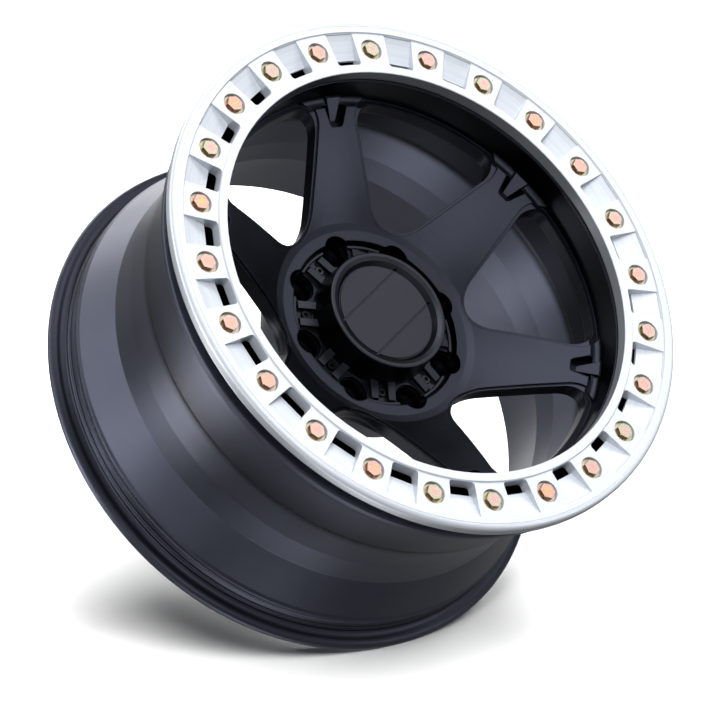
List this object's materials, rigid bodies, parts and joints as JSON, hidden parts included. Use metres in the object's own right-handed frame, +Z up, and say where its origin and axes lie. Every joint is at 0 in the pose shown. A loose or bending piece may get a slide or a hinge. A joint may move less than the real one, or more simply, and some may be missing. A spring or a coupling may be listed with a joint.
{
  "type": "beadlock wheel",
  "caption": "Deep-dish beadlock wheel with broad spokes, a bolted outer clamping ring with ramped pockets, a long barrel and a screwed centre cap.",
  "frame": {"origin": "centre of the wheel's bounding box, on the axle line midway between the ring's face and the rear flange's edge", "axes": "+Y along the axle toward the vehicle, so the outer face looks toward -Y; +Z up, +X to the right seen from the face"},
  "size_m": [0.5475, 0.285, 0.5474],
  "materials": {
    "casting": "satin black coat",
    "ring": "bright machined",
    "plated": "yellow zinc plated",
    "cap": "satin",
    "screws": "dark oxide"
  },
  "bodies": {
    "root": {"wheel_casting": "casting", "beadlock_ring": "ring", "centre_cap": "cap", "bolt_1": "plated", "bolt_2": "plated", "bolt_3": "plated", "bolt_4": "plated", "bolt_5": "plated", "bolt_6": "plated", "bolt_7": "plated", "bolt_8": "plated", "bolt_9": "plated", "bolt_10": "plated", "bolt_11": "plated", "bolt_12": "plated", "bolt_13": "plated", "bolt_14": "plated", "bolt_15": "plated", "bolt_16": "plated", "bolt_17": "plated", "bolt_18": "plated", "bolt_19": "plated", "bolt_20": "plated", "bolt_21": "plated", "bolt_22": "plated", "bolt_23": "plated", "bolt_24": "plated", "washer_1": "plated", "washer_2": "plated", "washer_3": "plated", "washer_4": "plated", "washer_5": "plated", "washer_6": "plated", "washer_7": "plated", "washer_8": "plated", "washer_9": "plated", "washer_10": "plated", "washer_11": "plated", "washer_12": "plated", "washer_13": "plated", "washer_14": "plated", "washer_15": "plated", "washer_16": "plated", "washer_17": "plated", "washer_18": "plated", "washer_19": "plated", "washer_20": "plated", "washer_21": "plated", "washer_22": "plated", "washer_23": "plated", "washer_24": "plated", "cap_screw_1": "screws", "cap_screw_2": "screws", "cap_screw_3": "screws", "cap_screw_4": "screws", "cap_screw_5": "screws", "cap_screw_6": "screws", "cap_screw_7": "screws", "cap_screw_8": "screws"}
  },
  "joints": []
}
